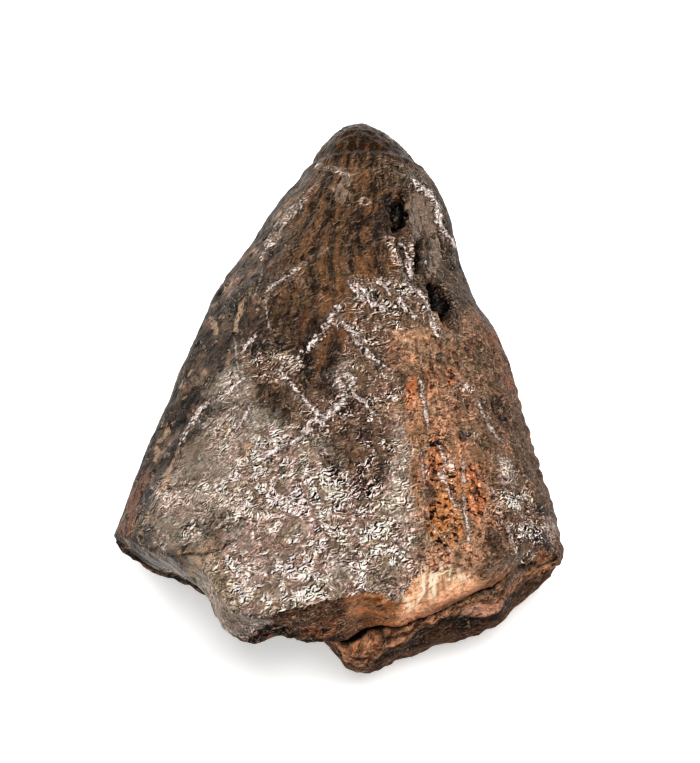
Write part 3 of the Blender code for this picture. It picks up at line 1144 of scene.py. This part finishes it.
    INLAYS = (
        Inlay((176, 148, 122), (
            Streak(((244, 302), (240, 315), (236, 332)), 0.09, 0.14, True),
            Streak(((209, 318), (215, 327), (217, 336)), 0.08, 0.14, True),
            Patch((226, 290), 0.2, 0.1, 30, 0.14, Ragged.FINE, True),
            Streak(((181, 390), (186, 380), (191, 372)), 0.07, 0.14, True),
            fine((-6.1, -3.1), 0.5, 0.1, 5, 0.25), fine((-5.75, -2.5), 0.4, 0.1, 35, 0.2),
            Streak(((-5.3, -3.4), (-5.7, -4.3), (-5.85, -5.0)), 0.09, 0.16),
            fine((-3.7, -3.2), 0.17, 0.33, 65, 0.1), fine((-2.95, -4.0), 0.2, 0.2, 0, 0.1),
        )),
        Inlay((136, 98, 76), (
            Patch((-6.75, -4.5), 0.8, 0.3, 15, 0.5), Patch((-7.0, -5.5), 0.5, 0.26, 10, 0.5),
            Patch((-7.2, -6.1), 0.5, 0.22, 10, 0.5),
        )),
        Inlay((184, 110, 60), (
            fine((2.38, -1.95), 0.65, 0.22, 0, 0.15), Patch((450, 378), 0.3, 0.13, 0, 0.1, seen=True),
            fine((3.15, -4.3), 1.0, 0.24, 4, 0.25), Patch((4.3, -4.9), 0.5, 0.32, 0, 0.25),
            Patch((4.45, -5.6), 0.8, 0.3, 0, 0.3),
        )),
        Inlay((182, 120, 62), (
            Patch((3.35, -6.7), 1.0, 0.55, 0, 0.3), Patch((3.6, -5.6), 0.8, 0.5, 0, 0.3),
        )),
        Inlay((140, 86, 60), (
            Patch((5.2, 1.2), 0.45, 0.16, -15, 0.1), Patch((5.6, -0.4), 0.4, 0.16, -12, 0.1),
        )),
        Inlay((44, 38, 36), (
            fine((5.3, -1.9), 0.6, 0.3, -10, 0.3), fine((4.1, -3.2), 0.25, 0.2, 0, 0.2),
            fine((3.4, -0.3), 0.3, 0.25, 0, 0.25), fine((2.95, -5.7), 0.35, 0.25, 0, 0.2),
            fine((3.5, -6.6), 0.2, 0.15, 0, 0.1), fine((1.4, 5.1), 1.2, 0.22, 12, 0.3),
            fine((3.7, 1.6), 0.8, 0.2, -12, 0.25), fine((2.95, 3.8), 0.7, 0.12, 8, 0.15),
            fine((5.0, -7.1), 0.5, 0.25, 0, 0.25), fine((6.6, -5.3), 0.25, 0.3, 0, 0.25),
            fine((6.7, -6.5), 0.3, 0.3, 0, 0.25), fine((-4.9, 0.9), 0.9, 0.25, 20, 0.3),
            fine((-5.6, -1.2), 0.5, 0.2, 25, 0.2),
        )),
        Inlay((70, 66, 63), (
            Patch((-6.6, -6.7), 0.5, 0.5, 0, 0.3), Patch((-6.4, -5.3), 0.8, 0.2, 12, 0.2),
        )),
        Inlay((138, 119, 104), (
            fine((0.0, 6.1), 0.35, 0.3, 0, 0.25), fine((-1.6, 5.6), 0.6, 0.14, 38, 0.12),
            fine((-2.2, 4.75), 0.5, 0.14, 38, 0.12),
            Streak(((-0.75, 7.6), (-0.2, 7.25), (0.05, 7.1)), 0.13, 0.12),
            fine((0.15, 6.85), 0.35, 0.25, 0, 0.15), *PLATE,
        )),
    )
    SPOTTED = INLAYS[2].marks + INLAYS[3].marks
    LEDGE = ((-4.0, 3.2), (-3.5, 4.9), (-2.8, 6.7), (-2.3, 7.5))
    LUMP = 0.36
    FAR, SIDE_LIMIT = 99.0, 6.0
    AREAS = {
        "frost": (FROST, 0.3), "veil": (VEIL, 0.35), "dim_frost": (DIM_FROST, 0.4), "glow": (GLOW, 0.5),
        "sparks": (SPARKS, 0.4), "worn": (WORN, 0.3), "spall": (SPALL, 0.15), "purple": (PURPLE, 0.4),
        "amber": (AMBER, 0.5), "plate": (PLATE, 0.2), "shelf": (SHELF, 0.3), "cracks": (CRACKS, 0.6),
        "crevice": (CREVICES, 0.15),
    }

    def __post_init__(self) -> None:
        """Find every zone."""
        skin = self.skin
        x, y, z = skin.points.T
        self.core = Noise.cells(skin.points / self.LUMP)
        self.above = z - np.interp(x, *np.array(self.CRACK).T)
        outer = skin.moved(Ragged.MEDIUM, 0.12)[:, 1] - np.interp(x, *np.array(self.EDGE).T)
        zone = self.zone = SimpleNamespace(**{name: smooth(deepest(skin, marks), -soft, soft)
                                              for name, (marks, soft) in self.AREAS.items()})
        zone.frost *= 1 - 0.65 * smooth(skin.noise(1.5, 3, 150), 0.05, 0.35)
        zone.sparks *= smooth(skin.noise(0.5, 2, 155, 0.5), -0.35, 0.1) * skin.level
        under = smooth(x, -0.6, 0.2) * smooth(self.above, 0.0, -0.2)
        zone.broken = self.broken(under, outer)
        for name in self.AREAS:
            vars(zone)[name] *= 1 - zone.broken
        zone.wedge = under * zone.broken
        zone.lumps = zone.wedge * smooth(self.above, -1.4, -1.0)
        zone.cap = smooth(skin.moved(Ragged.MEDIUM, 0.4)[:, 1], 7.6, 7.9)
        zone.left = smooth(skin.share, -0.4, -0.72)
        zone.right = smooth(skin.share, 0.12, 0.42) * smooth(y, 2.5, 0.5)
        zone.edge = smooth(skin.share, 0.72, 0.95) * smooth(y, 4.0, 1.0)
        zone.pit = smooth(self.cavity, 0.15, 0.6)
        zone.lip = smooth(x, 0.0, 0.8) * smooth(self.above, 0.05, 0.35) * smooth(outer, 0.45, 0.3)
        zone.glare = (smooth(x, 1.8, 2.4) * smooth(x, 5.0, 4.4) * smooth(outer, 0.7, 0.3) * skin.upper
                      * smooth(self.above, 0.9, 1.6))

    def broken(self, under: Array, outer: Array) -> Array:
        """Find the broken base.

        Args:
            under: Share of each point that is below the crack.
            outer: How far inside the base's outer edge each point is, in millimetres.

        Returns:
            Share of each point that is broken.
        """
        skin = self.skin
        x, y, z = skin.points.T
        crown = smooth(x, 0.0, 0.5) * smooth(self.above, 0.05, 0.35) * smooth(outer, 0.3, 0.45)
        rough_z = z + 0.45 * skin.noise(0.9, 4, 160)
        ledge = np.interp(x, *np.array(self.LEDGE).T)
        painted = smooth(x, -2.0, -2.4) * smooth(rough_z - ledge, 0.0, 0.4)
        facing = smooth(-skin.normals[:, 1], 0.35, 0.65) * (1 - crown) * (1 - painted)
        seam = (smooth(np.abs(self.above), 0.7, 0.45) * smooth(np.abs(x + 1.6), 2.3, 1.9)
                * smooth(y, -7.8, -8.2))
        return np.maximum.reduce([facing * smooth(y, -5.4, -5.9), under * smooth(y, -8.4, -8.7), seam])

    def sum_of(self, **shares: float) -> Array:
        """Sum of several zones, each times the share given for it."""
        return sum(share * vars(self.zone)[name] for name, share in shares.items())

    def apart_from(self, **shares: float) -> Array:
        """What is left of 1 after taking off, one after another, the share given of each zone."""
        return np.prod([1 - share * vars(self.zone)[name] for name, share in shares.items()], axis=0)

    def relief(self) -> Array:
        """How far each point of the skin is raised.

        Returns:
            Heights along the normals, in millimetres.
        """
        skin, zone = self.skin, self.zone
        curl = skin.points + 0.25 * np.stack([Noise.plain(skin.points / 0.6, 90 + i) for i in range(3)], 1)
        crinkle = Noise.fractal(curl / (0.62, 0.5, 0.62), 3, 100, 0.65, ridged=True)
        stripes = Noise.fractal(skin.grain / (0.45, 0.45, 4.0), 3, 110, 0.6)
        waves = skin.noise(1.6, 4, 120)
        knobs = Noise.fractal(curl / 0.5, 3, 125, 0.6)
        fracture = skin.noise(0.9, 5, 130, 0.62)
        dents = smooth(skin.noise(0.35, 2, 140, 0.5), 0.2, 0.5)
        lined = np.clip(self.sum_of(worn=1, spall=1, right=1, cap=1), 0, 1)
        frosted = np.clip(self.sum_of(frost=1, veil=0.8, dim_frost=0.5), 0, 1)
        rough = np.clip(1 - self.sum_of(broken=1, plate=0.7, lip=0.6), 0, 1) * self.apart_from(worn=0.6)
        height = 0.06 * waves + (0.045 * knobs - 0.05 * dents) * rough + 0.05 * stripes * lined
        height += 0.13 * (crinkle - 0.4) * frosted
        height += self.sum_of(sparks=0.06, cracks=-0.08, crevice=-0.25)
        height -= 0.1 * smooth(self.RING.inside(skin), 0.3, 0.7)
        lumps = (0.03 + 0.18 * zone.lumps) * (0.5 - self.core)
        height += (0.16 * fracture * self.apart_from(wedge=0.7) + lumps) * zone.broken * (1 - zone.lip)
        return height * smooth(skin.points[:, 2], 0.02, 0.25) * self.apart_from(pit=0.7)

    def write(self, mesh: bpy.types.Mesh) -> None:
        """Store the colours and traits that the finish reads.

        Args:
            mesh: The tooth's mesh.
        """
        tint = self.tint()
        tint = np.column_stack([tint, np.ones(len(tint))])
        for name, kind, part, values in (("tint", "FLOAT_COLOR", "color", tint),
                                         ("mark", "FLOAT_COLOR", "color", self.inlaid()),
                                         ("grain", "FLOAT_VECTOR", "vector", self.skin.grain * MM),
                                         *((trait.value, "FLOAT", "value", strength)
                                           for trait, strength in self.traits().items())):
            stored = mesh.attributes.new(name, kind, "POINT").data
            stored.foreach_set(part, values.astype(np.float32).ravel())

    def traits(self) -> dict[Trait, Array]:
        """Work out where each of the finish's effects shows.

        Returns:
            The strength of every trait at each point.
        """
        skin, zone = self.skin, self.zone
        whole = 1 - zone.broken
        solid = 1 - np.maximum(zone.pit, zone.crevice)
        side, strength = self.nearest_line()
        quiet = self.apart_from(shelf=0.5) * (1 + self.sum_of(lip=-0.9, glare=0.55)) * solid
        quiet *= np.maximum(whole, 0.35 * smooth(skin.points[:, 0], 0.5, 0.0))
        frost = np.maximum.reduce([1.1 * zone.frost, 0.95 * zone.veil, 0.42 * zone.dim_frost])
        frost += 0.08 + self.sum_of(glow=0.25, glare=0.45, sparks=0.65, worn=-0.08, broken=0.3)
        streaks = np.clip(self.sum_of(worn=1, spall=0.75, right=0.3, cap=0.4), 0, 1)
        streaks *= (1 - 0.8 * np.maximum(zone.frost, zone.veil)) * whole * solid
        spotted = smooth(deepest(skin, self.SPOTTED), -0.2, 0.3)
        even = self.apart_from(plate=0.4, cap=0.7, shelf=0.2, lip=0.2, broken=0.2, right=0.15)
        even *= 0.3 + 0.7 * solid
        gloss = 0.86 + self.sum_of(frost=0.1, sparks=0.1, lip=-0.5, shelf=-0.2)
        gloss -= 0.35 * smooth(np.abs(skin.share), 0.6, 0.95)
        return {
            Trait.FROST: np.clip(frost, 0, 1.3) * quiet,
            Trait.STREAKS: streaks * (1 - smooth(self.RING.inside(skin), -0.3, 0.1)),
            Trait.SPECKS: (0.38 + 0.52 * zone.right + 0.8 * spotted) * self.apart_from(lip=0.5),
            Trait.GRIT: even * self.apart_from(left=0.7, worn=0.3, cap=0.5),
            Trait.BLOTCHES: even * self.apart_from(left=-0.1, dim_frost=0.5),
            Trait.GLOSS: np.clip(gloss, 0, 1) * (1 - zone.broken * (1 - zone.lip)),
            Trait.GLARE: zone.glare,
            Trait.LINE: smooth(np.abs(side), 5.0, 3.0) * strength * skin.level * whole,
            Trait.SIDE: np.clip(side, -self.SIDE_LIMIT, self.SIDE_LIMIT),
        }

    def nearest_line(self) -> tuple[Array, Array]:
        """Find the thin line that is nearest to each point.

        Returns:
            The distance to its middle, in half widths and with a sign, and its strength.
        """
        side, strength = np.full(len(self.cavity), self.FAR), np.zeros(len(self.cavity))
        for line in self.LINES:
            reach = line.side(self.skin)
            closer = np.abs(reach) < np.abs(side)
            side[closer], strength[closer] = reach[closer], smooth(line.half_width, -0.03, 0.1)
        return side, strength

    def inlaid(self) -> Array:
        """Find the crisp-edged areas.

        Returns:
            A colour for each point, and a fourth value that passes 0.5 on the areas' borders.
        """
        best = np.full(len(self.cavity), -1.0)
        paint = np.tile(linear(self.INLAYS[0].colour), (len(best), 1))
        for inlay in self.INLAYS:
            inside = deepest(self.skin, inlay.marks)
            closer = inside > best
            best[closer] = inside[closer]
            paint[closer] = linear(inlay.colour)
        cover = np.clip(0.5 + 0.5 * best, 0, 1) * (1 - self.zone.broken) * self.skin.level
        return np.column_stack([paint, cover])

    def tint(self) -> Array:
        """Paint the ground colours, coat over coat.

        Returns:
            Linear colours, one row for each point.
        """
        skin, zone, above = self.skin, self.zone, self.above
        x, _, z = skin.points.T
        mottle = skin.noise(1.1, 4, 200)
        blotch = Noise.fractal(skin.grain / (1.4, 1.4, 2.6), 4, 210, 0.6)
        dust = skin.noise(0.35, 3, 230)
        daub = skin.noise(0.8, 3, 240)
        breaks = zone.broken * (1 - zone.lip)
        rosy = np.hypot((x - 4.7) / 0.85, (z - 4.5) / 0.5) + 0.7 * mottle
        hollow = smooth(above, -0.9, -1.2) * smooth(z, 3.1, 3.6) * smooth(mottle, -0.3, 0.1)
        ring = self.RING.inside(skin)
        coats = (
            ((94, 76, 61), np.ones(len(z))),
            ((62, 47, 37), smooth(blotch, 0.05, 0.4)),
            ((114, 93, 75), smooth(mottle, 0.1, 0.5) * 0.7),
            ((96, 83, 72), zone.left * 0.85),
            ((56, 51, 48), zone.left * smooth(blotch, 0.05, 0.15) * 0.8),
            ((124, 98, 78), zone.left * smooth(mottle, 0.16, 0.26) * 0.7),
            ((58, 56, 54), zone.left * smooth(daub, -0.08, -0.16) * 0.7),
            ((132, 112, 96), zone.left * smooth(daub, 0.12, 0.2) * 0.6),
            ((184, 150, 128), zone.left * smooth(daub + 0.6 * dust, 0.34, 0.42) * 0.7),
            ((194, 152, 121), zone.right * 0.9),
            ((116, 88, 67), zone.right * smooth(blotch, 0.1, 0.3) * 0.7),
            ((116, 88, 67), zone.right * smooth(skin.share, 0.5, 0.75) * 0.75),
            ((172, 114, 74), zone.amber * 0.45),
            ((50, 44, 41), smooth(np.abs(skin.share), 0.84, 0.99) * 0.55),
            ((98, 76, 55), zone.worn * 0.95),
            ((74, 57, 46), zone.spall * 0.9),
            ((52, 36, 23), zone.cap * 0.95),
            ((174, 161, 149), zone.dim_frost * 0.85),
            # Pale frost, glow and spark tints: partly the enamel's paler colour, partly painted sheen and
            # glints.
            ((212, 197, 184), zone.frost * 0.92),
            ((226, 206, 196), zone.glow * 0.7),
            ((206, 190, 180), zone.sparks * 0.35),
            ((148, 126, 110), zone.veil * 0.8),
            ((76, 60, 54), zone.purple * 0.85),
            ((166, 148, 130), zone.shelf * 0.85),
            ((124, 82, 58), zone.edge * smooth(mottle, -0.2, 0.3) * 0.7),
            ((44, 33, 27), zone.cracks * 0.85),
            # The broken base: its own dark brown, darkened further towards black as painted shade of the
            # undercut below the lip.
            ((58, 36, 24), breaks),
            ((22, 12, 7), breaks * smooth(mottle, -0.15, 0.2)),
            ((132, 80, 44), breaks * smooth(x, -2.0, -1.0) * smooth(mottle + 0.3 * z, 1.7, 2.1) * 0.85),
            ((18, 8, 3), breaks * smooth(dust, 0.02, 0.25) * 0.9),
            ((176, 126, 106), breaks * smooth(dust, -0.22, -0.36) * 0.8),
            ((96, 68, 48), breaks * smooth(z, 7.3, 7.8)),
            ((96, 66, 44), zone.wedge * 0.9),
            # Lighter towards each lump's middle, where the lumps rise: painted light on their tops.
            ((196, 144, 108), zone.lumps * smooth(self.core, 0.8, 0.35) * smooth(mottle, 0.45, 0.1)),
            # Dark in the hollow under the wedge's lumpy top band: painted shade.
            ((46, 32, 23), zone.wedge * hollow),
            ((210, 160, 134), zone.wedge * smooth(rosy, 1.0, 0.75) * 0.9),
            ((232, 168, 126), zone.lip),
            ((236, 182, 146), zone.lip * smooth(dust, 0.05, 0.2) * 0.8),
            ((186, 124, 84), zone.lip * smooth(dust, -0.15, -0.3) * 0.5),
            ((244, 194, 154), zone.glare * 0.8),
            ((134, 82, 44), zone.lip * smooth(above, 1.0, 0.3)),
            ((164, 108, 60), zone.lip * smooth(x, 2.2, 1.7)),
            ((60, 38, 24), zone.lip * smooth(dust, 0.12, 0.35) * smooth(x, 2.6, 1.8)),
            ((136, 94, 62), zone.lip * smooth(x, 4.5, 5.1)),
            ((30, 18, 11), zone.lip * smooth(x, 1.5, 0.5) * smooth(above + mottle, 2.4, 1.3)),
            ((222, 184, 166), smooth(ring, -0.1, 0.1)),
            ((60, 48, 36), smooth(ring, 0.35, 0.55)),
            # Near black where the skin faces a close wall, in the pits, the crack and the crevices: painted
            # shade in the recesses.
            ((14, 10, 8), np.maximum(zone.pit, zone.crevice)),
        )
        paint = np.zeros((len(z), 3))
        for colour, mask in coats:
            cover = np.clip(mask, 0, 1)[:, None]
            paint = paint * (1 - cover) + linear(colour) * cover
        return paint


# ---- the studio


@dataclass(frozen=True)
class Studio:
    """A pale table, soft lights and the camera.

    The table and the lights are in metres. The camera's aim, distance and picture height, and how far
    the table is below the tooth, are in millimetres.
    """

    floor_size: float = 0.6
    floor_drop: float = 0.02
    floor_colour: Colour = (244, 244, 243)
    floor_roughness: float = 0.8
    floor_glow: float = 0.4
    air_glow: float = 0.12
    aim: Place = (0.333, -0.41, 4.0)
    elevation: float = ELEVATION
    distance: float = 350.0
    picture_height: float = 25.43
    look: str = "High Contrast"

    SENSOR = 36.0
    CLIP_START = 0.01

    def build(self) -> None:
        """Put up the floor, the lights and the camera."""
        self.floor()
        self.world()
        self.softbox("key", (0.02, -0.04, 0.38), 0.18, 1.05)
        self.softbox("back", (-0.04, 0.22, 0.32), 0.16, 0.4)
        self.camera()
        bpy.context.scene.view_settings.view_transform = "Standard"
        bpy.context.scene.view_settings.look = self.look

    def floor(self) -> None:
        """The table that the tooth lies on."""
        mesh = bpy.data.meshes.new("table")
        shape = bmesh.new()
        bmesh.ops.create_grid(shape, x_segments=1, y_segments=1, size=self.floor_size / 2)
        bmesh.ops.translate(shape, vec=(0, 0, -self.floor_drop * MM), verts=shape.verts)
        shape.to_mesh(mesh)
        shape.free()
        table = bpy.data.objects.new("table", mesh)
        bpy.context.scene.collection.objects.link(table)
        material = bpy.data.materials.new("pale_table")
        material.use_nodes = True
        inputs = material.node_tree.nodes["Principled BSDF"].inputs
        inputs["Base Color"].default_value = colour4(self.floor_colour)
        inputs["Roughness"].default_value = self.floor_roughness
        inputs["Emission Color"].default_value = colour4(self.floor_colour)
        inputs["Emission Strength"].default_value = self.floor_glow
        mesh.materials.append(material)

    def world(self) -> None:
        """Even pale light from all round."""
        world = bpy.data.worlds.new("studio")
        world.use_nodes = True
        inputs = world.node_tree.nodes["Background"].inputs
        inputs["Color"].default_value = (1.0, 1.0, 1.0, 1.0)
        inputs["Strength"].default_value = self.air_glow
        bpy.context.scene.world = world

    @staticmethod
    def softbox(name: str, place: Place, size: float, power: float) -> None:
        """Add a square soft light that faces the tooth.

        Args:
            name: What the light is called.
            place: Where it stands.
            size: Its side.
            power: Its power, in watts.
        """
        lamp = bpy.data.lights.new(name, "AREA")
        lamp.size = size
        lamp.energy = power
        light = bpy.data.objects.new(name, lamp)
        light.location = place
        light.rotation_euler = Vector(place).to_track_quat("Z", "Y").to_euler()
        bpy.context.scene.collection.objects.link(light)

    def camera(self) -> None:
        """Add the camera, which looks down on the tooth."""
        lens = bpy.data.cameras.new("camera")
        lens.sensor_fit = "VERTICAL"
        lens.sensor_height = self.SENSOR
        lens.lens = self.SENSOR * self.distance / self.picture_height
        lens.clip_start = self.CLIP_START
        tilt = math.radians(self.elevation)
        back = Vector((0, -math.cos(tilt), math.sin(tilt)))
        view = bpy.data.objects.new("camera", lens)
        view.location = (Vector(self.aim) + back * self.distance) * MM
        view.rotation_euler = back.to_track_quat("Z", "Y").to_euler()
        bpy.context.scene.collection.objects.link(view)
        bpy.context.scene.camera = view


def main() -> None:
    """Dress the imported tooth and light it."""
    logging.basicConfig(level=logging.INFO, format="%(message)s")
    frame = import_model()
    piece = ToothBody(frame["nodes"][NODE], ToothFinish()).build()
    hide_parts(NODE)
    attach(piece, BODY)
    log.info("%s: %d faces", piece.name, len(piece.data.polygons))
    Studio().build()


if __name__ == "__main__":
    main()
